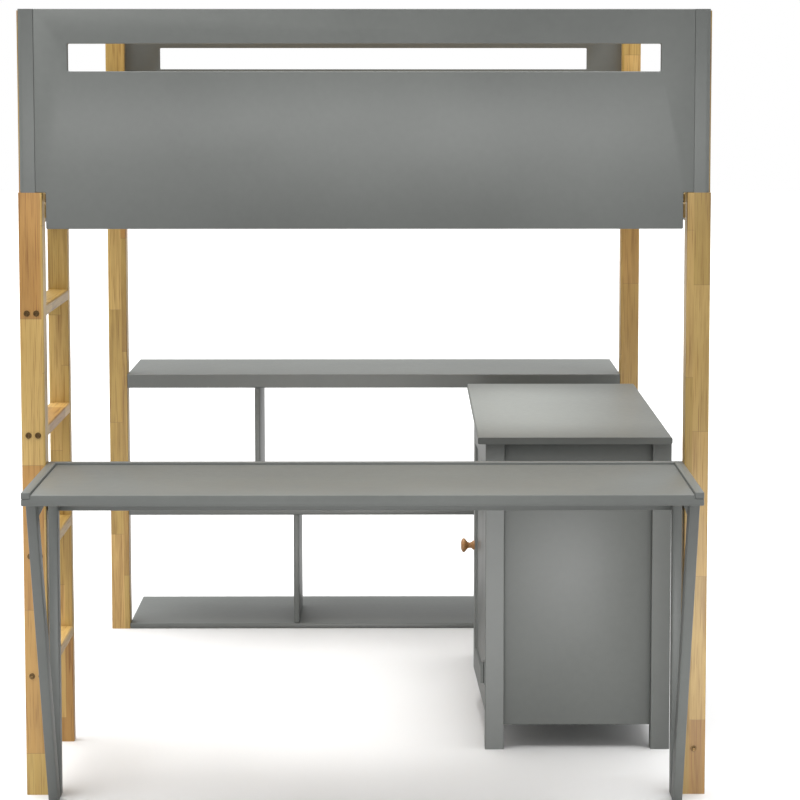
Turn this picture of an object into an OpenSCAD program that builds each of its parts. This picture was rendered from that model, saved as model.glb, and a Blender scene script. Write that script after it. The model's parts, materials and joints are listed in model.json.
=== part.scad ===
// Loft bed on four posts, with a ladder, a desk, a bookcase and a cabinet.
// X runs across the bed, Y from the desk end to the bookcase end, Z up.
// The origin is on the floor, in the middle of the whole object's footprint.

/* [Bed] */
// Width over the posts
bed_w = 1450; // [1400:10:1600]
// Length over the posts
bed_l = 2020; // [1980:10:2100]
// Height of the end panels' top edge
bed_h = 1666; // [1640:2:1760]
// Height of the end panels' bottom edge
panel_bottom = 1209; // [1180:1:1220]
// Height of the wide notch at each lower corner of an end panel
notch_h = 76; // [60:1:90]

/* [Posts and ladder] */
// Post width, across the bed
post_w = 50; // [45:1:55]
// Post depth, along the bed
post_d = 60; // [50:1:70]
// Distance from the front of the bed to the ladder's rear rail
ladder_l = 525; // [450:5:600]
// Height from one rung to the next
rung_step = 258; // [250:1:270]

/* [Desk and bookcase] */
// Height of the desk and of the bookcase's top
desk_h = 707; // [690:1:740]
// Distance that the desk stands out in front of the bed
desk_out = 433; // [400:1:480]
// Distance that the bookcase stands out behind the bed
book_out = 375; // [340:5:420]

/* [Cabinet] */
// Height of the cabinet's top
cab_h = 718; // [700:1:740]
// Width of the cabinet, without its top's overhang
cab_w = 420; // [380:5:430]
// Angle that the door stands open at rest
door_ajar = 1.5; // [0:0.5:90]

/* [Hidden] */
$fn = 32;

wood = "burlywood";
grey = "slategray";

half_w = bed_w / 2;
inner_x = half_w - post_w;
// The object's middle along Y, with the front of the bed at 0
mid_y = (bed_l + book_out - desk_out) / 2;

panel_t = 22;
stile_w = 36;
stile_in = 4;
stile_round = 9;
notch_gap = 8;
post_drop = 3;
slot_x = 618;
back_slot_x = 581;
slot_bottom = 1537;
slot_top = 1594;
post_top = panel_bottom + notch_h;
rebate = panel_t;

rail_t = 25;
rail_h = 130;
rail_z = 1209;
ledger_t = 30;
ledger_h = 30;
ledger_z = rail_z + 20;
slat_count = 12;
slat_w = 80;
slat_t = 18;
slat_z = ledger_z + ledger_h;
slat_x = half_w - rail_t;
slat_gap = (bed_l - 2 * post_d - slat_count * slat_w) / (slat_count + 1);
beam_w = 50;
beam_h = 40;

guard_h = 80;
guard_z = 1440;
guard_post_w = 70;
left_guard_ys = [900, 1420];
right_guard_ys = [650, 1300];

rung_count = 4;
ladder_w = 46;
ladder_t = 35;
rung_t = 25;
bolt_head_r = 6.5;
bolt_head_t = 2;
bolt_socket_floor = 0.6;
bolt_pitch = 20;
leg_bolt_z = 100;
bolt_xs = [-half_w + 15, -half_w + 15 + bolt_pitch];

desk_t = 22;
desk_in = 54;
lip_t = 18;
lip_h = 5;
lip_sunk = 8;
desk_rail_h = 76;
desk_rail_t = 18;
leg_x = 650;
leg_t = 20;
leg_foot = -25;
leg_w = 50;
leg_front_top = -350;
leg_back_w = 40;
leg_back_top = -10;
brace_deep = 34;
brace_shallow = 6;

book_front = bed_l - post_d;
book_t = 38;
book_base_t = 15;
shelf_t = 18;
shelf_z = 317;
shelf_d = 290;
divider_t = 15;
upper_divider_x = -327;
lower_divider_x = -222;

cab_left = 266;
cab_right = cab_left + cab_w;
cab_front = 436;
cab_back = 1575;
cab_post = 43;
cab_foot = 77;
cab_front_foot = 55;
cab_top_t = 15;
cab_over = 18;
panel_in = 12;
cab_panel_t = 12;
cab_body_top = cab_h - cab_top_t;
cab_shelf_z = 390;
mid_stile_y = 1000;
mid_stile_w = 40;
mid_stile_t = 24;

door_gap = 2.5;
door_t = 18;
door_y0 = cab_front + cab_post + door_gap;
door_y1 = mid_stile_y - door_gap;
door_z0 = cab_foot + door_gap;
door_z1 = cab_body_top - door_gap;
door_rail = 60;
door_panel_in = 6;
door_panel_t = 6;
hinge_r = 4.5;
pin_r = 2;
pin_fit = 0.05;
knuckle = 16;
leaf_t = 1.5;
leaf_w = 22;
leaf_h = 48;
knuckle_step = knuckle + 0.3;
hinge_x = cab_left - hinge_r - 0.5;
hinge_y = cab_front + cab_post + door_gap / 2;
hinge_from_end = 90;
hinge_zs = [door_z0 + hinge_from_end, door_z1 - hinge_from_end];
knob_r = 17.5;
knob_neck_r = 7;
knob_foot_r = 11;
knob_reach = 33.5;
knob_y = door_y1 - 42;
knob_z = (door_z0 + door_z1) / 2;

// Puts the bed's front corner frame into the object's own frame
module place() translate([0, -mid_y, 0]) children();

// A board between two corners, square edged
module board(a, b) translate(a) cube(b - a);

// A rounded rectangle from its lower corner
module rounded(w, h, r) {
    translate([r, 0]) square([w - 2 * r, h]);
    translate([0, r]) square([w, h - 2 * r]);
    for (x = [r, w - r], y = [r, h - r])
        translate([x, y]) circle(r);
}

// Upright board with rounded long edges
module upright(a, b, r = 3) {
    translate(a)
        linear_extrude(b[2] - a[2])
            rounded(b[0] - a[0], b[1] - a[1], r);
}

// Lying board with rounded long edges along Y
module along_y(a, b, r = 3) {
    translate([a[0], b[1], a[2]])
        rotate([90, 0, 0])
            linear_extrude(b[1] - a[1])
                rounded(b[0] - a[0], b[2] - a[2], r);
}

// Lying board with rounded long edges along X
module along_x(a, b, r = 3) {
    translate(a)
        rotate([90, 0, 90])
            linear_extrude(b[0] - a[0])
                rounded(b[1] - a[1], b[2] - a[2], r);
}

// Corner post at the front left; a rebate at its top takes the end panel
module corner_post() {
    color(wood)
        difference() {
            upright([-half_w, 0, 0], [-inner_x, post_d, bed_h - post_drop]);
            translate([-half_w - 1, -1, post_top])
                cube([post_w + 2, rebate + 1, bed_h]);
        }
}

module front_left_post() place() corner_post();
module front_right_post() place() mirror([1, 0, 0]) corner_post();
module back_left_post() place() translate([0, bed_l, 0]) mirror([0, 1, 0]) corner_post();
module back_right_post() place() translate([0, bed_l, 0]) rotate([0, 0, 180]) corner_post();

// End panel at the front: notched round the posts, with a slot of the given half width
module end_panel(slot_half) {
    color(grey)
        difference() {
            board([-half_w + stile_w, 0, panel_bottom], [half_w - stile_w, panel_t, bed_h]);
            for (side = [-1, 1])
                translate([side * half_w - post_w - notch_gap, -1, panel_bottom - 1])
                    cube([2 * (post_w + notch_gap), panel_t + 2, notch_h + 1]);
            translate([-slot_half, -1, slot_bottom])
                cube([2 * slot_half, panel_t + 2, slot_top - slot_bottom]);
        }
}

module front_panel() place() end_panel(slot_x);
module back_panel() place() translate([0, bed_l, 0]) mirror([0, 1, 0]) end_panel(back_slot_x);

// Edge strip beside an end panel, above the post's shoulder, with its outer corners rounded
module edge_stile() {
    color(grey)
        translate([-half_w + stile_in, 0, post_top])
            linear_extrude(bed_h - post_top)
                difference() {
                    square([stile_w - stile_in, panel_t]);
                    difference() {
                        translate([-1, -1]) square(stile_round + 1);
                        translate([stile_round, stile_round]) circle(stile_round);
                    }
                }
}

module front_left_stile() place() edge_stile();
module front_right_stile() place() mirror([1, 0, 0]) edge_stile();
module back_left_stile() place() translate([0, bed_l, 0]) mirror([0, 1, 0]) edge_stile();
module back_right_stile() place() translate([0, bed_l, 0]) rotate([0, 0, 180]) edge_stile();

// Side rail between two posts, its outer face on the posts' outer face
module side_rail() {
    color(grey)
        along_y([-half_w, post_d, rail_z], [-half_w + rail_t, bed_l - post_d, rail_z + rail_h]);
}

// Ledger that carries the slats, on the rail's inner face
module ledger() {
    color(wood)
        board([-half_w + rail_t, post_d, ledger_z], [-half_w + rail_t + ledger_t, bed_l - post_d, slat_z]);
}

module left_side_rail() place() side_rail();
module right_side_rail() place() mirror([1, 0, 0]) side_rail();

// The left ledger stops on each side of the ladder's rear rail
module left_ledger() {
    place()
        difference() {
            ledger();
            translate([-half_w, ladder_l, ledger_z - 1])
                cube([2 * post_w, ladder_t, ledger_h + 2]);
        }
}

module right_ledger() place() mirror([1, 0, 0]) ledger();

// Beam under the middle of the slats, from one end panel to the other
module centre_beam() {
    place()
        color(wood)
            board([-beam_w / 2, panel_t, slat_z - beam_h], [beam_w / 2, bed_l - panel_t, slat_z]);
}

// The slats, laid across the ledgers and the beam
module slats() {
    place()
        color(wood)
            for (i = [0:slat_count - 1])
                translate([0, post_d + slat_gap + i * (slat_w + slat_gap), 0])
                    along_x([-slat_x, 0, slat_z], [slat_x, slat_w, slat_z + slat_t], 2);
}

// Guard rail along one side, from y0 to the back post
module guard_rail(y0) {
    color(grey)
        along_y([-half_w, y0, guard_z], [-half_w + rail_t, bed_l - post_d, guard_z + guard_h]);
}

// Two short posts that hold a guard rail on the side rail
module guard_posts(ys) {
    color(grey)
        for (y = ys)
            board([-half_w, y, rail_z + rail_h], [-half_w + rail_t, y + guard_post_w, guard_z]);
}

module left_guard_rail() place() guard_rail(ladder_l + ladder_t);
module right_guard_rail() place() mirror([1, 0, 0]) guard_rail(post_d);
module left_guard_posts() place() guard_posts(left_guard_ys);
module right_guard_posts() place() mirror([1, 0, 0]) guard_posts(right_guard_ys);

// Rear upright of the ladder: the front left post is its other upright
module ladder_rail() {
    place()
        color(wood)
            difference() {
                upright([-half_w, ladder_l, 0], [-half_w + ladder_w, ladder_l + ladder_t, guard_z + guard_h]);
                translate([-half_w - 1, ladder_l - 1, rail_z])
                    cube([rail_t + 1, ladder_t + 2, rail_h]);
            }
}

// Rung number i, between the front left post and the ladder's rear rail
module rung(i) {
    z = rung_step * i;
    place()
        color(wood)
            along_y([-half_w, post_d, z - rung_t / 2], [-half_w + ladder_w, ladder_l, z + rung_t / 2], 4);
}

module rung_1() rung(1);
module rung_2() rung(2);
module rung_3() rung(3);
module rung_4() rung(4);

// Heads on the post's front face, level with each rung
module ladder_bolts() {
    place()
        color("darkgoldenrod")
            for (i = [1:rung_count], x = bolt_xs)
                bolt_head([x, 0, rung_step * i]);
}

// Round bolt head with a hexagon socket, standing on the face at Y = 0
module bolt_head(p) {
    translate(p)
        rotate([90, 0, 0])
            difference() {
                cylinder(r = bolt_head_r, h = bolt_head_t);
                translate([0, 0, bolt_socket_floor])
                    cylinder(r = bolt_head_r / 2, h = bolt_head_t, $fn = 6);
            }
}

// Strip along the back and both ends of the desk top, from height z0 to z1
module edging_strip(z0, z1) {
    difference() {
        board([-inner_x, -desk_out, z0], [inner_x, desk_in, z1]);
        board([-inner_x + lip_t, -desk_out - 1, z0 - 1], [inner_x - lip_t, desk_in - lip_t, z1 + 1]);
    }
}

// Desk top between the front posts, rebated for the edging
module desk_top() {
    place()
        color(grey)
            difference() {
                board([-inner_x, -desk_out, desk_h - desk_t], [inner_x, desk_in, desk_h]);
                edging_strip(desk_h - lip_sunk, desk_h + 1);
            }
}

// Edging let into the desk top and standing a little proud of it
module desk_edging() place() color(grey) edging_strip(desk_h - lip_sunk, desk_h + lip_h);

// Rail under the desk's back edge, from post to post
module desk_back_rail() {
    y = post_d / 2;
    z = desk_h - desk_t;
    place() color(grey) board([-inner_x, y, z - desk_rail_h], [inner_x, y + desk_rail_t, z]);
}

// Slat of a V leg: its outline in Y and Z, extruded across X
module leg_slat(outline) {
    translate([leg_x, 0, 0])
        rotate([90, 0, 90])
            linear_extrude(leg_t)
                polygon(outline);
}

leg_top = desk_h - desk_t;

module leg_front_slat() {
    color(grey)
        leg_slat([[leg_foot - leg_w, 0], [leg_foot, 0], [leg_front_top, leg_top],
            [leg_front_top - leg_w, leg_top]]);
}

module leg_back_slat() {
    color(grey)
        leg_slat([[leg_foot, 0], [leg_foot + leg_back_w, 0], [post_d / 2, leg_top], [leg_back_top, leg_top]]);
}

// Brace between the tops of a leg's two slats, deeper at the front
module leg_brace() {
    lean = (leg_foot - leg_front_top) / leg_top;
    back_lean = (leg_back_top - leg_foot) / leg_top;
    color(grey)
        leg_slat([[leg_front_top, leg_top], [leg_front_top + brace_deep * lean, leg_top - brace_deep],
            [leg_back_top - brace_shallow * back_lean, leg_top - brace_shallow], [leg_back_top, leg_top]]);
}

module left_leg_front_slat() place() mirror([1, 0, 0]) leg_front_slat();
module left_leg_back_slat() place() mirror([1, 0, 0]) leg_back_slat();
module left_leg_brace() place() mirror([1, 0, 0]) leg_brace();
module right_leg_front_slat() place() leg_front_slat();
module right_leg_back_slat() place() leg_back_slat();
module right_leg_brace() place() leg_brace();

// Bolt head low on the front right post
module leg_bolt() place() color("darkgoldenrod") bolt_head([half_w - post_w / 2, 0, leg_bolt_z]);

book_back = bed_l + book_out;

module bookcase_top() {
    place() color(grey) along_x([-inner_x, book_front, desk_h - book_t], [inner_x, book_back, desk_h]);
}

module bookcase_bottom() {
    place() color(grey) board([-inner_x, book_front, 0], [inner_x, book_back, book_base_t]);
}

module bookcase_middle_shelf() {
    place()
        color(grey)
            board([-inner_x, book_front, shelf_z], [inner_x, book_front + shelf_d, shelf_z + shelf_t]);
}

// Upright divider between two shelves
module divider(x, z0, z1) {
    place() color(grey) board([x, book_front, z0], [x + divider_t, book_front + shelf_d, z1]);
}

module upper_divider() divider(upper_divider_x, shelf_z + shelf_t, desk_h - book_t);
module lower_divider() divider(lower_divider_x, book_base_t, shelf_z);

module cabinet_top() {
    place()
        color(grey)
            along_y([cab_left - cab_over, cab_front - cab_over, cab_body_top],
                [cab_right, cab_back + cab_over, cab_h], 4);
}

// Corner post of the cabinet, which is also its foot
module cabinet_post(x, y) {
    place() color(grey) upright([x, y, 0], [x + cab_post, y + cab_post, cab_body_top], 2);
}

module cabinet_front_left_post() cabinet_post(cab_left, cab_front);
module cabinet_front_right_post() cabinet_post(cab_right - cab_post, cab_front);
module cabinet_back_left_post() cabinet_post(cab_left, cab_back - cab_post);
module cabinet_back_right_post() cabinet_post(cab_right - cab_post, cab_back - cab_post);

// Panels, set in from the posts' outer faces
module cabinet_front_panel() {
    y = cab_front + panel_in;
    place()
        color(grey)
            board([cab_left + cab_post, y, cab_front_foot],
                [cab_right - cab_post, y + cab_panel_t, cab_body_top]);
}

module cabinet_back_panel() {
    y = cab_back - panel_in;
    place()
        color(grey)
            board([cab_left + cab_post, y - cab_panel_t, cab_foot], [cab_right - cab_post, y, cab_body_top]);
}

module cabinet_right_panel() {
    x = cab_right - panel_in;
    place()
        color(grey)
            board([x - cab_panel_t, cab_front + cab_post, cab_foot], [x, cab_back - cab_post, cab_body_top]);
}

module cabinet_left_panel() {
    x = cab_left + panel_in;
    place()
        color(grey)
            board([x, mid_stile_y + mid_stile_w, cab_foot],
                [x + cab_panel_t, cab_back - cab_post, cab_body_top]);
}

module cabinet_middle_stile() {
    place()
        color(grey)
            board([cab_left, mid_stile_y, cab_foot],
                [cab_left + mid_stile_t, mid_stile_y + mid_stile_w, cab_body_top]);
}

inside_x0 = cab_left + mid_stile_t;
inside_x1 = cab_right - panel_in - cab_panel_t;
inside_y0 = cab_front + panel_in + cab_panel_t;
inside_y1 = cab_back - panel_in - cab_panel_t;

// A board that fills the cabinet's inside, notched round the four posts
module inner_board(z, t) {
    color(grey)
        difference() {
            board([inside_x0, inside_y0, z], [inside_x1, inside_y1, z + t]);
            for (x = [cab_left, cab_right - cab_post], y = [cab_front, cab_back - cab_post])
                translate([x, y, z - 1])
                    cube([cab_post, cab_post, t + 2]);
        }
}

module cabinet_bottom() place() inner_board(cab_foot, shelf_t);
module cabinet_shelf() place() inner_board(cab_shelf_z, shelf_t);

// Turns the door's pieces about the hinge pins
module swing() {
    place()
        translate([hinge_x, hinge_y, 0])
            rotate([0, 0, door_ajar])
                translate([-hinge_x, -hinge_y, 0])
                    children();
}

module door_frame() {
    swing()
        color(grey)
            difference() {
                board([cab_left, door_y0, door_z0], [cab_left + door_t, door_y1, door_z1]);
                translate([cab_left - 1, door_y0 + door_rail, door_z0 + door_rail])
                    cube([door_t + 2, door_y1 - door_y0 - 2 * door_rail, door_z1 - door_z0 - 2 * door_rail]);
            }
}

module door_panel() {
    x = cab_left + door_panel_in;
    swing()
        color(grey)
            board([x, door_y0 + door_rail, door_z0 + door_rail],
                [x + door_panel_t, door_y1 - door_rail, door_z1 - door_rail]);
}

// Turned wooden knob, standing out of the door's outer face: a foot, a neck and a domed head
module door_knob() {
    neck_end = knob_reach / 2;
    head_z = knob_reach - 7.5;
    swing()
        color(wood)
            translate([cab_left, knob_y, knob_z])
                rotate([0, -90, 0])
                    rotate_extrude()
                        polygon([[0, 0], [knob_foot_r, 0], [knob_foot_r, 4], [knob_neck_r, 9],
                            [knob_neck_r, neck_end], [knob_r - 2, head_z - 4], [knob_r, head_z],
                            [knob_r - 2, head_z + 4], [knob_neck_r, knob_reach - 0.5], [0, knob_reach]]);
}

// Knuckle of a hinge, bored for the pin
module knuckle_at(z, h, bore) {
    translate([hinge_x, hinge_y, z])
        difference() {
            cylinder(r = hinge_r, h = h);
            translate([0, 0, -1])
                cylinder(r = bore, h = h + 2);
        }
}

// Cuts a leaf's tab back so that it only meets its own knuckle's wall
module pin_room(z) {
    translate([hinge_x, hinge_y, z - leaf_h])
        cylinder(r = hinge_r - 1, h = 2 * leaf_h);
}

// Leaves screwed to the front post, each with two knuckles
module hinge_fixed_leaves() {
    place()
        color("silver")
            for (z = hinge_zs)
                union() {
                    board([cab_left - leaf_t, hinge_y - leaf_w, z - leaf_h / 2],
                        [cab_left, hinge_y - hinge_r - 1, z + leaf_h / 2]);
                    for (zk = [z - knuckle_step, z + knuckle_step]) {
                        knuckle_at(zk - knuckle / 2, knuckle, pin_r);
                        difference() {
                            board([cab_left - leaf_t, hinge_y - leaf_w, zk - knuckle / 2],
                                [cab_left, hinge_y - door_gap / 2, zk + knuckle / 2]);
                            pin_room(zk);
                        }
                    }
                }
}

// Leaves screwed to the door, each with one knuckle
module hinge_door_leaves() {
    swing()
        color("silver")
            for (z = hinge_zs)
                union() {
                    board([cab_left - leaf_t, hinge_y + hinge_r + 1, z - leaf_h / 2],
                        [cab_left, hinge_y + leaf_w, z + leaf_h / 2]);
                    knuckle_at(z - knuckle / 2, knuckle, pin_r + pin_fit);
                    difference() {
                        board([cab_left - leaf_t, hinge_y + door_gap / 2, z - knuckle / 2],
                            [cab_left, hinge_y + leaf_w, z + knuckle / 2]);
                        pin_room(z);
                    }
                }
}

// Pins fixed in the outer knuckles
module hinge_pins() {
    place()
        color("silver")
            for (z = hinge_zs)
                translate([hinge_x, hinge_y, z - knuckle_step - knuckle / 2])
                    cylinder(r = pin_r, h = 2 * knuckle_step + knuckle);
}

front_left_post();
front_right_post();
back_left_post();
back_right_post();
front_panel();
back_panel();
front_left_stile();
front_right_stile();
back_left_stile();
back_right_stile();
left_side_rail();
right_side_rail();
left_ledger();
right_ledger();
centre_beam();
slats();
left_guard_rail();
right_guard_rail();
left_guard_posts();
right_guard_posts();
ladder_rail();
rung_1();
rung_2();
rung_3();
rung_4();
ladder_bolts();
desk_top();
desk_edging();
desk_back_rail();
left_leg_front_slat();
left_leg_back_slat();
left_leg_brace();
right_leg_front_slat();
right_leg_back_slat();
right_leg_brace();
leg_bolt();
bookcase_top();
bookcase_middle_shelf();
bookcase_bottom();
upper_divider();
lower_divider();
cabinet_top();
cabinet_front_left_post();
cabinet_front_right_post();
cabinet_back_left_post();
cabinet_back_right_post();
cabinet_front_panel();
cabinet_right_panel();
cabinet_back_panel();
cabinet_left_panel();
cabinet_middle_stile();
cabinet_bottom();
cabinet_shelf();
door_frame();
door_panel();
door_knob();
hinge_fixed_leaves();
hinge_door_leaves();
hinge_pins();
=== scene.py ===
# %% [markdown]
# # A loft bed with a desk, a bookcase and a cabinet
# The frame brings in the bed's boards as they were drawn. A fixed frame is the simplest start:
# every new piece is placed from it, so nothing has to be fitted by eye.

# %% Load the frame
import json
import math

import bmesh
import bpy
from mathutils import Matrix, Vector

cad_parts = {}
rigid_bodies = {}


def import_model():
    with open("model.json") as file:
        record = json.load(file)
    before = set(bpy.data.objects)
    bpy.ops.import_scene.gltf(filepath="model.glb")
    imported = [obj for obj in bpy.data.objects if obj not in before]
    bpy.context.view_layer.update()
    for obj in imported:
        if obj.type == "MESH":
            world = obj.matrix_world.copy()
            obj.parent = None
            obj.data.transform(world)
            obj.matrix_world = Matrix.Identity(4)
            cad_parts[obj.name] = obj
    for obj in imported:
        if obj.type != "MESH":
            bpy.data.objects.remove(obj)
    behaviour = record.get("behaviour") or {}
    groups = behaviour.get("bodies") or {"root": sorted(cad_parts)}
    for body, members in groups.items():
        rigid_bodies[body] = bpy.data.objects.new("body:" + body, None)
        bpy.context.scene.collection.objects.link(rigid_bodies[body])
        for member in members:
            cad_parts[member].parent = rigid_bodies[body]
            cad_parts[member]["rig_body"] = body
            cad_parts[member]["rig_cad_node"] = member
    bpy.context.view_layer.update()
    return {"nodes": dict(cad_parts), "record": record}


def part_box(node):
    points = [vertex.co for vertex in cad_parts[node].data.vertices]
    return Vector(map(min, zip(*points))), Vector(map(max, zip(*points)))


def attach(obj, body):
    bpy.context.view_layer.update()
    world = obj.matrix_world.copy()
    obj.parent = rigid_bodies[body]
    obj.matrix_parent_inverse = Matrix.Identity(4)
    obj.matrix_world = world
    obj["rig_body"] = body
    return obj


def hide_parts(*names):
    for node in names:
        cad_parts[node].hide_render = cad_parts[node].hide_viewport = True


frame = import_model()
panel_low, panel_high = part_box("front_panel")
bed_front = panel_low.y

# %% [markdown]
# ## The camera
# A long lens stands well back from the desk end and looks slightly down, so the far posts are
# only a little smaller than the near ones. Its place is measured from the front of the bed. A short
# lens close by would look livelier, but it would splay the posts.

# %% Camera
CAMERA_BACK = 6.496
CAMERA_SIDE = 0.079
CAMERA_HEIGHT = 1.556
LOOK_DOWN = math.radians(6.76)
LOOK_RIGHT = math.radians(0.352)
LENS = 139.5
SENSOR_WIDTH = 36
SHIFT_ACROSS = -0.027
SHIFT_UP = 0.037
FARTHEST_SEEN = 100

camera_data = bpy.data.cameras.new("camera")
camera_data.sensor_width = SENSOR_WIDTH
camera_data.lens = LENS
camera_data.shift_x = SHIFT_ACROSS
camera_data.shift_y = SHIFT_UP
camera_data.clip_end = FARTHEST_SEEN
camera = bpy.data.objects.new("camera", camera_data)
bpy.context.scene.collection.objects.link(camera)
camera.location = (CAMERA_SIDE, bed_front - CAMERA_BACK, CAMERA_HEIGHT)
camera.rotation_euler = (math.pi / 2 - LOOK_DOWN, 0, -LOOK_RIGHT)
bpy.context.scene.camera = camera
print("camera at", [round(v, 3) for v in camera.location])

# %% [markdown]
# ## Building a graph of nodes
# Each finish, and the sky too, is a small graph of nodes. Graphs can be drawn by hand in the shader
# editor, but short helpers keep them readable in a script: one starts a material, one adds a node
# and sets the sockets that it is given, and the rest add the kinds of node that are needed often.

# %% Helpers for nodes
def start_material(name):
    material = bpy.data.materials.new(name)
    material.use_nodes = True
    tree = material.node_tree
    return material, tree, tree.nodes["Principled BSDF"]


def add_node(tree, kind, sockets=None, **settings):
    """A new node; a socket's value is a number, a colour or another node's output."""
    made = tree.nodes.new(kind)
    for key, value in settings.items():
        setattr(made, key, value)
    for key, value in (sockets or {}).items():
        if isinstance(value, bpy.types.NodeSocket):
            tree.links.new(value, made.inputs[key])
        else:
            made.inputs[key].default_value = value
    return made


def math_node(tree, operation, first, second=0.0):
    made = add_node(tree, "ShaderNodeMath", {0: first, 1: second}, operation=operation)
    return made.outputs[0]


def object_coordinates(tree):
    return add_node(tree, "ShaderNodeTexCoord").outputs["Object"]


print("node helpers are ready")

# %% Helpers for colour and surface
COLOUR_A = 6
COLOUR_B = 7
COLOUR_RESULT = 2


def noise(tree, place, scale, **look):
    """A cloudy pattern of greys; look sets its Detail, Roughness and Distortion."""
    sockets = {"Vector": place, "Scale": scale, **look}
    return add_node(tree, "ShaderNodeTexNoise", sockets).outputs["Fac"]


def colour_ramp(tree, factor, stops):
    ramp = add_node(tree, "ShaderNodeValToRGB", {"Fac": factor})
    points = ramp.color_ramp.elements
    while len(points) < len(stops):
        points.new(0.5)
    for point, (place, colour) in zip(points, stops):
        point.position = place
        point.color = (*colour, 1)
    return ramp.outputs["Color"]


def mix_colours(tree, blend, strength, first, second):
    sockets = {0: strength, COLOUR_A: first, COLOUR_B: second}
    made = add_node(tree, "ShaderNodeMix", sockets, data_type="RGBA", blend_type=blend)
    return made.outputs[COLOUR_RESULT]


def multiply_colours(tree, strength, first, second):
    return mix_colours(tree, "MULTIPLY", strength, first, second)


def spread_between(tree, factor, least, most):
    sockets = {"Value": factor, "To Min": least, "To Max": most}
    return add_node(tree, "ShaderNodeMapRange", sockets).outputs["Result"]


def raise_surface(tree, shader, height, strength, distance):
    sockets = {"Height": height, "Strength": strength, "Distance": distance}
    relief = add_node(tree, "ShaderNodeBump", sockets).outputs["Normal"]
    tree.links.new(relief, shader.inputs["Normal"])


print("colour helpers are ready")

# %% [markdown]
# ## The floor
# The bed stands on one wide pale sheet. A white floor throws so much light upwards that every front
# face turns pale. So the Light Path node gives the floor two tones, a white one for the camera and
# a greyer one for the light that bounces off it. A grey floor alone would do the same for the bed,
# but it would look dirty.

# %% Floor
FLOOR_SIZE = 60
FLOOR_SEEN = 0.85
FLOOR_BOUNCE = 0.50

bpy.ops.mesh.primitive_plane_add(size=FLOOR_SIZE, location=(0, 0, 0))
floor = bpy.context.object
floor.name = "studio_floor"

floor_paint, tree, shader = start_material("floor_paint")
seen_by_camera = add_node(tree, "ShaderNodeLightPath").outputs["Is Camera Ray"]
floor_tone = spread_between(tree, seen_by_camera, FLOOR_BOUNCE, FLOOR_SEEN)
tree.links.new(floor_tone, shader.inputs["Base Color"])
floor.data.materials.append(floor_paint)
print("floor", FLOOR_SIZE, "m wide")

# %% [markdown]
# ## The sky
# The sky is a graph of its own. For light it is bright overhead and dimmer towards the sides, as in
# a room with lamps in its ceiling, and behind the bed it is seen as plain white. One even sky would
# be simpler, but it would make the fronts of boards as light as their tops.

# %% Sky
SKY_OVERHEAD = 1.4
SKY_SIDE = 0.15
WHITE = (1, 1, 1, 1)

bpy.context.scene.view_settings.view_transform = "Standard"
world = bpy.data.worlds.new("studio")
bpy.context.scene.world = world
world.use_nodes = True
sky = world.node_tree
background = sky.nodes["Background"]
background.inputs["Color"].default_value = WHITE
direction = add_node(sky, "ShaderNodeTexCoord").outputs["Generated"]
height = add_node(sky, "ShaderNodeSeparateXYZ", {0: direction}).outputs["Z"]
glow = spread_between(sky, height, SKY_SIDE, SKY_OVERHEAD)
seen_by_camera = add_node(sky, "ShaderNodeLightPath").outputs["Is Camera Ray"]
brightness = math_node(sky, "MAXIMUM", seen_by_camera, glow)
sky.links.new(brightness, background.inputs["Strength"])
print("sky from", SKY_SIDE, "at the sides to", SKY_OVERHEAD, "overhead")

# %% [markdown]
# ## Lamps
# One wide soft sun from above makes the tops of boards lighter than their sides. A long strip box
# in front puts a soft glow along the middle of the end panel, a small box under the slats lights the
# cabinet's top, and a low box in front fills in under the desk. They are area lamps, whose spread
# keeps the beam narrow. Spot lamps have narrow beams too, but a spot's pool of light is round.

# %% Helpers for lamps
FACE_THE_BED = (90, 0, 0)
FACE_DOWN = (0, 0, 0)


def place_lamp(name, kind, energy, place, turn, **settings):
    """A lamp that lights the bed and isn't seen itself. Its turn is in degrees."""
    lamp = bpy.data.lights.new(name, kind)
    lamp.energy = energy
    for key, value in settings.items():
        setattr(lamp, key, value)
    holder = bpy.data.objects.new(name, lamp)
    bpy.context.scene.collection.objects.link(holder)
    holder.location = place
    holder.rotation_euler = [math.radians(angle) for angle in turn]
    holder.visible_camera = False
    print("lamp", name, energy)
    return holder


def place_box_lamp(name, energy, place, turn, sides, spread):
    """A rectangular lamp. Its sides are in metres, and the spread of its beam is in degrees."""
    wide, deep = sides
    return place_lamp(name, "AREA", energy, place, turn, shape="RECTANGLE",
                      size=wide, size_y=deep, spread=math.radians(spread))


print("lamp helpers are ready")

# %% The sun and the strip
SUN_ENERGY = 4.0
SUN_PLACE = (0, 0, 3)
SUN_TURN = (3, -8, 0)
SUN_SOFTNESS = math.radians(70)
place_lamp("soft_sun", "SUN", SUN_ENERGY, SUN_PLACE, SUN_TURN, angle=SUN_SOFTNESS)

STRIP_ENERGY = 0.29
STRIP_BACK = 2
STRIP_SIDES = (1.5, 0.10)
STRIP_SPREAD = 16
GLOW_UP_PANEL = 0.42
glow_height = panel_low.z + GLOW_UP_PANEL * (panel_high.z - panel_low.z)
strip_place = (0, bed_front - STRIP_BACK, glow_height)
place_box_lamp("panel_strip", STRIP_ENERGY, strip_place, FACE_THE_BED, STRIP_SIDES, STRIP_SPREAD)

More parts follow.
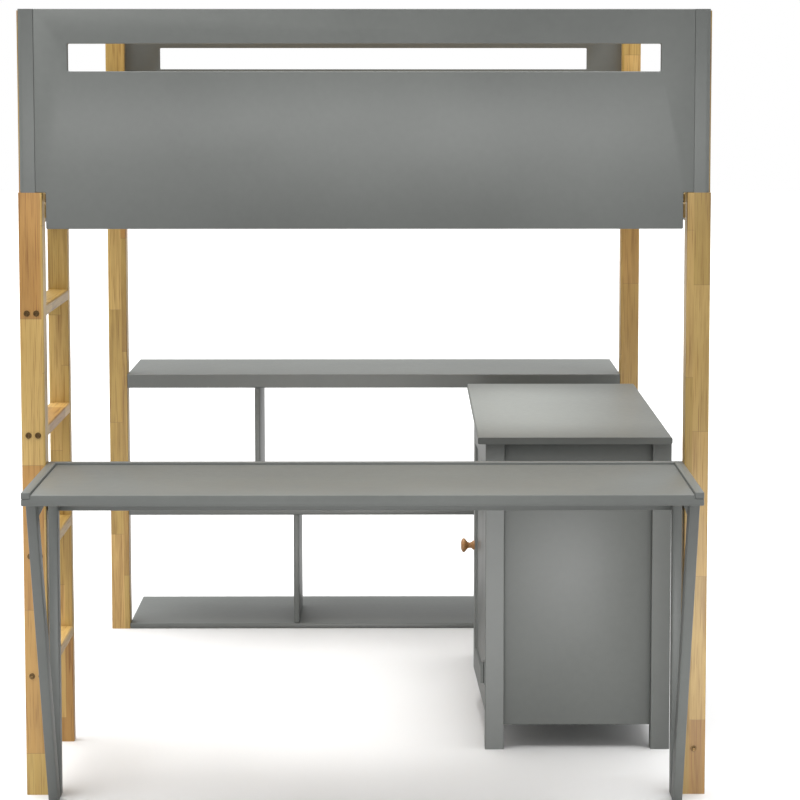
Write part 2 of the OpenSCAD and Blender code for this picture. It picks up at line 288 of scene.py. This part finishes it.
# %% The two small boxes
CABINET_BOX_ENERGY = 3.4
CABINET_BOX_OFFSET = Vector((-0.1, 0, 0.42))
CABINET_BOX_SIDES = (0.4, 1.0)
CABINET_BOX_SPREAD = 90
slab_low, slab_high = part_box("cabinet_top")
slab_middle = (slab_low + slab_high) / 2
slab_top = Vector((slab_middle.x, slab_middle.y, slab_high.z))
place_box_lamp("cabinet_box", CABINET_BOX_ENERGY, slab_top + CABINET_BOX_OFFSET, FACE_DOWN,
               CABINET_BOX_SIDES, CABINET_BOX_SPREAD)

LOW_BOX_ENERGY = 2.0
LOW_BOX_RIGHT = 0.2
LOW_BOX_BACK = 2.4
LOW_BOX_HEIGHT = 0.20
LOW_BOX_SIDES = (1.8, 0.3)
LOW_BOX_SPREAD = 30
low_box_place = (LOW_BOX_RIGHT, bed_front - LOW_BOX_BACK, LOW_BOX_HEIGHT)
place_box_lamp("low_front_box", LOW_BOX_ENERGY, low_box_place, FACE_THE_BED,
               LOW_BOX_SIDES, LOW_BOX_SPREAD)

# %% [markdown]
# ## Jointed wood
# The posts are made of short blocks glued end to end, so their colour jumps every few hundred
# millimetres, and the grain runs the long way. A picture of planks could be wrapped round each post,
# but a graph has no seam at the corners and never repeats. White noise picks one tint for each block,
# and a noise stretched along the board draws the grain. A board lies along X, Y or Z, so the pattern
# is turned to suit.

# %% Blocks of wood
BLOCK_LENGTH = 0.31
ROW_HEIGHT = 0.5
ROW_MIX = (7.3, 3.1)
ROW_STAGGER = 0.37


def block_numbers(tree, place, along, block):
    """How many blocks along a spot lies, and one number for the block that it is in."""
    parts = add_node(tree, "ShaderNodeSeparateXYZ", {0: place}).outputs
    across, up = [parts[i] for i in range(3) if i != along]
    row = math_node(tree, "ADD", math_node(tree, "MULTIPLY", across, ROW_MIX[0]),
                    math_node(tree, "MULTIPLY", up, ROW_MIX[1]))
    row = math_node(tree, "FLOOR", math_node(tree, "DIVIDE", row, ROW_HEIGHT))
    start = math_node(tree, "MULTIPLY", row, ROW_STAGGER)
    blocks = math_node(tree, "ADD", math_node(tree, "DIVIDE", parts[along], block), start)
    whole = math_node(tree, "FLOOR", blocks)
    number = add_node(tree, "ShaderNodeCombineXYZ", {0: whole, 1: row}).outputs[0]
    return blocks, number


print("blocks are", BLOCK_LENGTH, "m long")

# %% Grain, pores and clouds
GRAIN_ACROSS, GRAIN_ALONG = 38, 1.6
PORES_ACROSS, PORES_ALONG = 420, 9
CLOUDS_ACROSS, CLOUDS_ALONG = 9, 3
GRAIN_LOOK = {"Detail": 7, "Roughness": 0.62, "Distortion": 0.6}
GRAIN_TONES = [(0.28, (0.50, 0.38, 0.26)), (0.50, (1, 1, 1)), (0.74, (0.93, 0.84, 0.68))]
PORE_TONES = [(0.34, (0.52, 0.38, 0.26)), (0.46, (1, 1, 1))]
CLOUD_TONES = [(0.32, (0.84, 0.80, 0.70)), (0.60, (1.06, 1.05, 1.02))]
GRAIN_STRENGTH = 0.85
PORE_STRENGTH = 0.65


def stretch_place(tree, place, along, across_scale, along_scale):
    """The same place, but finer across the board than along it."""
    scale = [across_scale] * 3
    scale[along] = along_scale
    return add_node(tree, "ShaderNodeMapping", {"Vector": place, "Scale": scale}).outputs[0]


def draw_grain(tree, place, along, number):
    stretched = stretch_place(tree, place, along, GRAIN_ACROSS, GRAIN_ALONG)
    shifted = add_node(tree, "ShaderNodeVectorMath", {0: stretched, 1: number}, operation="ADD")
    grain = noise(tree, shifted.outputs[0], 1.0, **GRAIN_LOOK)
    fine = stretch_place(tree, place, along, PORES_ACROSS, PORES_ALONG)
    pores = noise(tree, fine, 1.0, Detail=3)
    return grain, pores


def stain(tree, base, grain, pores, clouds):
    """Darkens a tint where the grain, the pores and the wide clouds are dark."""
    streaked = multiply_colours(tree, GRAIN_STRENGTH, base, colour_ramp(tree, grain, GRAIN_TONES))
    pored = multiply_colours(tree, PORE_STRENGTH, streaked, colour_ramp(tree, pores, PORE_TONES))
    return multiply_colours(tree, 1.0, pored, colour_ramp(tree, clouds, CLOUD_TONES))


print("grain is", round(GRAIN_ACROSS / GRAIN_ALONG), "times finer across than along")

# %% Wood material
TINTS = [(0.0, (0.48, 0.26, 0.075)), (0.3, (0.50, 0.34, 0.10)),
         (0.65, (0.60, 0.41, 0.14)), (1.0, (0.66, 0.44, 0.16))]
SEAM_WIDTH = 0.0012
SEAM_STRENGTH = 0.45
SEAM_COLOUR = (0.20, 0.11, 0.045, 1)
WOOD_ROUGH = (0.38, 0.52)
PORE_HEIGHT = 0.5
WOOD_RELIEF, WOOD_RELIEF_HEIGHT = 0.22, 0.0008
LACQUER, LACQUER_ROUGH = 0.18, 0.25


def wood(name, along, tints=TINTS, block=BLOCK_LENGTH):
    """Wood whose grain runs along X, Y or Z, given as 0, 1 or 2."""
    material, tree, shader = start_material(name)
    place = object_coordinates(tree)
    blocks, number = block_numbers(tree, place, along, block)
    pick = add_node(tree, "ShaderNodeTexWhiteNoise", {"Vector": number}, noise_dimensions="3D")
    base = colour_ramp(tree, pick.outputs["Value"], tints)
    grain, pores = draw_grain(tree, place, along, number)
    wide = stretch_place(tree, place, along, CLOUDS_ACROSS, CLOUDS_ALONG)
    stained = stain(tree, base, grain, pores, noise(tree, wide, 1.0, Detail=3))

    seam = math_node(tree, "LESS_THAN", math_node(tree, "FRACT", blocks), SEAM_WIDTH / block)
    seam_tone = math_node(tree, "MULTIPLY", seam, SEAM_STRENGTH)
    coloured = mix_colours(tree, "MIX", seam_tone, stained, SEAM_COLOUR)
    tree.links.new(coloured, shader.inputs["Base Color"])
    tree.links.new(spread_between(tree, grain, *WOOD_ROUGH), shader.inputs["Roughness"])
    height = math_node(tree, "ADD", math_node(tree, "MULTIPLY", pores, PORE_HEIGHT), grain)
    raise_surface(tree, shader, height, WOOD_RELIEF, WOOD_RELIEF_HEIGHT)
    shader.inputs["Coat Weight"].default_value = LACQUER
    shader.inputs["Coat Roughness"].default_value = LACQUER_ROUGH
    print("finish", name)
    return material

# %% The woods of this bed
# Tints darkened by a quarter for the front right post: painted shade, since less light falls on it.
POST_SHADE = 0.76
SHADED_TINTS = [(place, tuple(POST_SHADE * c for c in tint)) for place, tint in TINTS]
KNOB_TINTS = [(0.0, (0.40, 0.20, 0.075)), (1.0, (0.46, 0.25, 0.10))]
KNOB_BLOCK = 1.0

wood_across = wood("wood_across", 0)
wood_lengthways = wood("wood_lengthways", 1)
wood_upright = wood("wood_upright", 2)
wood_upright_shaded = wood("wood_upright_shaded", 2, SHADED_TINTS)
knob_wood = wood("knob_wood", 0, KNOB_TINTS, KNOB_BLOCK)

# %% [markdown]
# ## Grey paint
# The boards are sprayed with satin paint. A plain colour with one roughness would look like plastic.
# Close to, spray has a fine orange-peel surface, and over a whole board its tone drifts a little. A
# wide noise makes the drift and a fine one the surface.

# %% Paint material
GREY = (0.142, 0.150, 0.142)
DRIFT_SCALE, MOTTLE_SCALE, SPRAY_SCALE = 2.2, 60, 900
DRIFT_DARK, DRIFT_LIGHT = 0.90, 1.09
DRIFT_FROM, DRIFT_TO = 0.3, 0.7
MOTTLE_TONES = [(0.3, (0.95, 0.95, 0.95)), (0.7, (1.0, 1.0, 1.0))]
PAINT_ROUGH = (0.36, 0.46)
SPRAY_HEIGHT = 0.25
PAINT_RELIEF, PAINT_RELIEF_HEIGHT = 0.12, 0.0006


def paint(name, colour):
    """Satin paint with a faint drift of tone and a fine sprayed surface."""
    material, tree, shader = start_material(name)
    place = object_coordinates(tree)
    drift = noise(tree, place, DRIFT_SCALE, Detail=4)
    mottle = noise(tree, place, MOTTLE_SCALE, Detail=5)
    spray = noise(tree, place, SPRAY_SCALE, Detail=2)
    dark = tuple(c * DRIFT_DARK for c in colour)
    light = tuple(c * DRIFT_LIGHT for c in colour)
    toned = colour_ramp(tree, drift, [(DRIFT_FROM, dark), (DRIFT_TO, light)])
    mottled = multiply_colours(tree, 1.0, toned, colour_ramp(tree, mottle, MOTTLE_TONES))
    tree.links.new(mottled, shader.inputs["Base Color"])
    tree.links.new(spread_between(tree, mottle, *PAINT_ROUGH), shader.inputs["Roughness"])
    height = math_node(tree, "ADD", math_node(tree, "MULTIPLY", spray, SPRAY_HEIGHT), mottle)
    raise_surface(tree, shader, height, PAINT_RELIEF, PAINT_RELIEF_HEIGHT)
    print("finish", name)
    return material


grey_paint = paint("grey_paint", GREY)

# %% [markdown]
# ## Metal
# The bolts are plated dark bronze. Metal with one even shine looks new and unreal, so a small noise
# varies the tone and the shine, as fingers and plating do.

# %% Metal material
BRONZE = (0.16, 0.10, 0.045)
BRONZE_ROUGH = (0.26, 0.46)
WEAR_SCALE = 260
WEAR_FROM, WEAR_TO = 0.35, 0.65
WORN = 0.72


def metal(name, colour, rough):
    material, tree, shader = start_material(name)
    wear = noise(tree, object_coordinates(tree), WEAR_SCALE, Detail=4)
    dim = tuple(c * WORN for c in colour)
    toned = colour_ramp(tree, wear, [(WEAR_FROM, dim), (WEAR_TO, colour)])
    tree.links.new(toned, shader.inputs["Base Color"])
    tree.links.new(spread_between(tree, wear, *rough), shader.inputs["Roughness"])
    shader.inputs["Metallic"].default_value = 1.0
    print("finish", name)
    return material


bolt_metal = metal("bolt_metal", BRONZE, BRONZE_ROUGH)

# %% [markdown]
# ## Which board has which finish
# The record says what each board is made of. The wooden ones also need a grain direction, which is
# the direction of their longest side, apart from the slats, which make one wide node of many short
# boards. The front right post gets a darker copy of the upright wood, which paints on it the shade
# left by light falling from the front left. The hinges are painted with the cabinet.

# %% Finish for each node
SLOT_OF = {row["node"]: row["material_slot"] for row in frame["record"]["subparts"]}
BODIES = frame["record"]["behaviour"]["bodies"]
BODY_OF = {node: body for body, nodes in BODIES.items() for node in nodes}
WOODS = (wood_across, wood_lengthways, wood_upright)
# The front right post takes the darker copy of the upright wood, which is painted shade.
SPECIAL = {"slats": wood_across, "front_right_post": wood_upright_shaded}
FINISHES = {"grey_paint": grey_paint, "knob_wood": knob_wood,
            "bolt_metal": bolt_metal, "hinge_metal": grey_paint}


def finish_for(node):
    if SLOT_OF[node] != "natural_wood":
        return FINISHES[SLOT_OF[node]]
    if node in SPECIAL:
        return SPECIAL[node]
    low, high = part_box(node)
    sides = list(high - low)
    return WOODS[sides.index(max(sides))]


def dress(piece, material):
    piece.data.materials.clear()
    piece.data.materials.append(material)


for node, piece in frame["nodes"].items():
    dress(piece, finish_for(node))
print("nodes dressed", len(frame["nodes"]))

# %% [markdown]
# ## Easing the edges of boards
# No board leaves a workshop with a knife edge: each edge is sanded to a small round, which catches
# a line of light. Drawing every round by hand would take hours, and a bevel does it at once. A copy
# of the board is merged into one skin, its flat faces are cleaned of extra edges, and a bevel rounds
# what is left.

# %% Helpers for pieces
def pick_only(piece):
    bpy.ops.object.select_all(action="DESELECT")
    piece.select_set(True)
    bpy.context.view_layer.objects.active = piece


def hand_over(piece, body, slot, *nodes):
    """Ties a piece to its body and hides the nodes that it stands for. The slot is not used."""
    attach(piece, body)
    if nodes:
        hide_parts(*nodes)


def copy_board(node):
    """A copy with a mesh of its own, which the frame no longer takes for the board itself."""
    board = frame["nodes"][node].copy()
    board.data = frame["nodes"][node].data.copy()
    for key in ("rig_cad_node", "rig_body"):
        if key in board:
            del board[key]
    board.parent = None
    bpy.context.scene.collection.objects.link(board)
    return board


print("boards to choose from", len(frame["nodes"]))

# %% Helper that eases a board
SAME_PLACE = 0.00001
SAME_PLANE = math.radians(1)
SHARP_EDGE = math.radians(40)
SMOOTH_BELOW = math.radians(35)
EASE_STEPS = 2


def round_edges(piece, name, width, steps, sharp):
    bevel = piece.modifiers.new(name, "BEVEL")
    bevel.width = width
    bevel.segments = steps
    bevel.limit_method = "ANGLE"
    bevel.angle_limit = sharp
    bpy.ops.object.modifier_apply(modifier=bevel.name)


def eased(node, radius):
    """A copy of a board with its edges rounded, shown in the board's place."""
    board = copy_board(node)
    board.name = node + "_eased"
    pick_only(board)
    bpy.ops.object.mode_set(mode="EDIT")
    bpy.ops.mesh.select_all(action="SELECT")
    bpy.ops.mesh.customdata_custom_splitnormals_clear()
    bpy.ops.mesh.remove_doubles(threshold=SAME_PLACE)
    bpy.ops.mesh.dissolve_limited(angle_limit=SAME_PLANE)
    bpy.ops.object.mode_set(mode="OBJECT")
    round_edges(board, "eased_edge", radius, EASE_STEPS, SHARP_EDGE)
    bpy.ops.object.shade_smooth_by_angle(angle=SMOOTH_BELOW)
    hand_over(board, BODY_OF[node], SLOT_OF[node], node)
    return board


print("edges are rounded past", round(math.degrees(SHARP_EDGE)), "degrees")

# %% [markdown]
# ## The boards
# Thick panels and slats take a larger round than thin cabinet boards. Boards that were drawn with
# rounded edges, such as the posts and the rungs, stay as they are.

# %% Ease the boards
LARGE_ROUND = 0.0025
SMALL_ROUND = 0.0015
LARGE = ["front_panel", "back_panel", "desk_top", "desk_back_rail", "left_leg_brace",
         "right_leg_brace", "bookcase_bottom", "bookcase_middle_shelf", "upper_divider",
         "lower_divider", "left_guard_posts", "right_guard_posts", "left_leg_front_slat",
         "left_leg_back_slat", "right_leg_front_slat", "right_leg_back_slat", "left_ledger",
         "right_ledger", "centre_beam", "door_frame"]
SMALL = ["desk_edging", "cabinet_front_panel", "cabinet_right_panel", "cabinet_back_panel",
         "cabinet_left_panel", "cabinet_middle_stile", "cabinet_bottom", "cabinet_shelf",
         "door_panel"]

for node in LARGE:
    eased(node, LARGE_ROUND)
for node in SMALL:
    eased(node, SMALL_ROUND)
print("boards eased", len(LARGE) + len(SMALL))

# %% [markdown]
# ## The knob
# A knob is turned on a lathe, so one outline spun round its axis gives all of it. Stacked rings
# would do as well, but an outline is easier to change. It is drawn from the door outwards: a foot,
# a thin neck, and a rounded head.

# %% Draw the knob's outline
KNOB_OUTLINE = [(0.0000, 0.0000), (0.0112, 0.0000), (0.0116, 0.0020), (0.0108, 0.0045),
                (0.0085, 0.0068), (0.0070, 0.0100), (0.0068, 0.0130), (0.0080, 0.0165),
                (0.0118, 0.0200), (0.0155, 0.0228), (0.0174, 0.0260), (0.0166, 0.0292),
                (0.0128, 0.0318), (0.0070, 0.0332), (0.0000, 0.0335)]
START_SIZE = 0.001

bpy.ops.mesh.primitive_plane_add(size=START_SIZE, location=(0, 0, 0))
knob = bpy.context.object
knob.name = "turned_knob"
outline = bmesh.new()
corners = [outline.verts.new((radius, 0, height)) for radius, height in KNOB_OUTLINE]
for here, after in zip(corners, corners[1:]):
    outline.edges.new((here, after))
outline.to_mesh(knob.data)
outline.free()
print("knob outline", len(knob.data.vertices), "points")

# %% Turn the knob
KNOB_STEPS = 40
WHOLE_TURN = 2 * math.pi

pick_only(knob)
bpy.ops.object.mode_set(mode="EDIT")
bpy.ops.mesh.select_all(action="SELECT")
bpy.ops.mesh.spin(steps=KNOB_STEPS, angle=WHOLE_TURN, center=(0, 0, 0), axis=(0, 0, 1))
bpy.ops.mesh.select_all(action="SELECT")
bpy.ops.mesh.remove_doubles(threshold=SAME_PLACE)
bpy.ops.mesh.normals_make_consistent(inside=False)
bpy.ops.object.mode_set(mode="OBJECT")
print("knob faces", len(knob.data.polygons))

# %% Fix the knob to the door
DOOR_AJAR = math.radians(1.5)
KNOB_SUNK = 0.0003
KNOB_SMOOTH = math.radians(50)

knob_low, knob_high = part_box("door_knob")
knob_middle = (knob_low + knob_high) / 2
knob.rotation_euler = (0, -math.pi / 2, DOOR_AJAR)
knob.location = (knob_high.x - KNOB_SUNK, knob_middle.y, knob_middle.z)
bpy.ops.object.transform_apply(location=True, rotation=True, scale=True)
bpy.ops.object.shade_smooth_by_angle(angle=KNOB_SMOOTH)
dress(knob, knob_wood)
hand_over(knob, BODY_OF["door_knob"], "knob_wood", "door_knob")
print("knob reach", round(knob_high.x - knob_low.x, 4))

# %% [markdown]
# ## The bolt heads
# Each head is a low disc with a rounded rim and a socket for the key. One is modelled as a pattern,
# the bolts are copies of it with meshes of their own, and the pattern is thrown away at the end. A
# cylinder gives the disc, two insets mark the rim and the socket's edge, and a last inset pushed
# inwards sinks the socket. A boolean cut would sink it too, but leaves untidy faces.

# %% Model one bolt head
BOLT_RADIUS = 0.0065
BOLT_HEIGHT = 0.002
BOLT_SIDES = 36
FACES_UP = 0.9
RIM_INSET = 0.0012
SOCKET_INSET = 0.0018
DISH_DEPTH = 0.0001
SOCKET_WALL = 0.0003
SOCKET_DEPTH = 0.0013

bpy.ops.object.select_all(action="DESELECT")
bpy.ops.mesh.primitive_cylinder_add(vertices=BOLT_SIDES, radius=BOLT_RADIUS,
                                    depth=BOLT_HEIGHT, location=(0, 0, 0))
head = bpy.context.object
head.name = "bolt_pattern"
bpy.ops.object.mode_set(mode="EDIT")
mesh = bmesh.from_edit_mesh(head.data)
for face in mesh.faces:
    face.select = face.normal.z > FACES_UP
bmesh.update_edit_mesh(head.data)
bpy.ops.mesh.inset(thickness=RIM_INSET, depth=0.0)
bpy.ops.mesh.inset(thickness=SOCKET_INSET, depth=0.0)
bpy.ops.transform.translate(value=(0, 0, -DISH_DEPTH))
bpy.ops.mesh.inset(thickness=SOCKET_WALL, depth=-SOCKET_DEPTH)
bpy.ops.object.mode_set(mode="OBJECT")
print("bolt head", 2 * BOLT_RADIUS, "m wide")

# %% Round its rim and turn it to the front
RIM_ROUND = 0.0005
RIM_STEPS = 3
RIM_SHARP = math.radians(50)
BOLT_SMOOTH = math.radians(40)

round_edges(head, "rim", RIM_ROUND, RIM_STEPS, RIM_SHARP)
head.rotation_euler = (math.pi / 2, 0, 0)
head.location = (0, -BOLT_HEIGHT / 2, 0)
bpy.ops.object.transform_apply(location=True, rotation=True, scale=True)
bpy.ops.object.shade_smooth_by_angle(angle=BOLT_SMOOTH)
dress(head, bolt_metal)
print("bolt head faces", len(head.data.polygons))

# %% Helpers that set a bolt
def move_mesh(piece, place):
    """Moves a piece's mesh to its place, and leaves its object at the origin."""
    pick_only(piece)
    piece.location = place
    bpy.ops.object.transform_apply(location=True, rotation=True, scale=True)


def copy_bolt(name, place):
    copied = head.copy()
    copied.data = head.data.copy()
    copied.name = name
    bpy.context.scene.collection.objects.link(copied)
    move_mesh(copied, place)
    return copied


def join(name, parts):
    bpy.ops.object.select_all(action="DESELECT")
    for part in parts:
        part.select_set(True)
    bpy.context.view_layer.objects.active = parts[0]
    bpy.ops.object.join()
    parts[0].name = name
    return parts[0]


print("bolt helpers are ready")

# %% Set the bolts of the ladder
RUNGS = 4
ladder_low, ladder_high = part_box("ladder_bolts")
bolt_xs = (ladder_low.x + BOLT_RADIUS, ladder_high.x - BOLT_RADIUS)
lowest = ladder_low.z + BOLT_RADIUS
rung_step = (ladder_high.z - ladder_low.z - 2 * BOLT_RADIUS) / (RUNGS - 1)

ladder_heads = []
for rung in range(RUNGS):
    for side, x in enumerate(bolt_xs):
        place = Vector((x, bed_front, lowest + rung * rung_step))
        ladder_heads.append(copy_bolt(f"ladder_head_{rung}_{side}", place))
print("ladder bolts", len(ladder_heads), "with", round(rung_step, 3), "m from rung to rung")
ladder_set = join("ladder_bolt_heads", ladder_heads)
hand_over(ladder_set, "bed", "bolt_metal", "ladder_bolts")

# %% Set the bolt of the leg
leg_low, leg_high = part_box("leg_bolt")
leg_middle = (leg_low + leg_high) / 2
leg_head = copy_bolt("leg_bolt_head", Vector((leg_middle.x, bed_front, leg_middle.z)))
hand_over(leg_head, "bed", "bolt_metal", "leg_bolt")
bpy.data.objects.remove(head)
print("leg bolt at height", round(leg_middle.z, 3))
